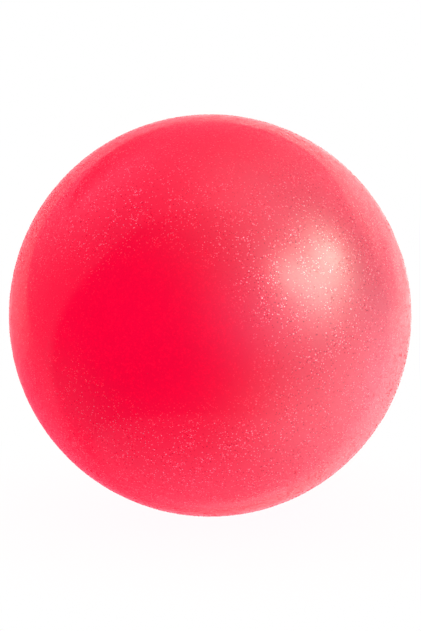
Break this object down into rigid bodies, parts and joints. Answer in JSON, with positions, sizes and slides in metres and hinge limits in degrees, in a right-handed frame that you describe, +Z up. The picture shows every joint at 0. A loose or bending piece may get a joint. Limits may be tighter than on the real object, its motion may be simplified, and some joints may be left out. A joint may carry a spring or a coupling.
{
  "type": "rhythmic gymnastics ball",
  "caption": "Glossy inflated gymnastics ball: a coloured hollow wall under a clear glitter skin, with a flush inflation valve closed by a pull-out pin plug.",
  "frame": {"origin": "middle of the flat patch that the ball rests on, straight under its centre", "axes": "+Z up, +Y straight back out of the valve, +X to the right as seen from the front"},
  "size_m": [0.185, 0.1848, 0.1843],
  "materials": {
    "coral_vinyl": "satin",
    "glitter_vinyl": "gloss",
    "soft_vinyl": "satin",
    "gum_rubber": "matte",
    "plug_plastic": "gloss"
  },
  "bodies": {
    "ball": {"ball_wall": "coral_vinyl", "glitter_skin": "glitter_vinyl", "valve_bush": "soft_vinyl", "valve_core": "gum_rubber"},
    "plug": {"valve_plug": "plug_plastic"}
  },
  "joints": [
    {"name": "plug_pull", "type": "slide", "parent": "ball", "child": "plug", "axis": [0, 1, 0], "range_m": [0, 0.025]}
  ]
}
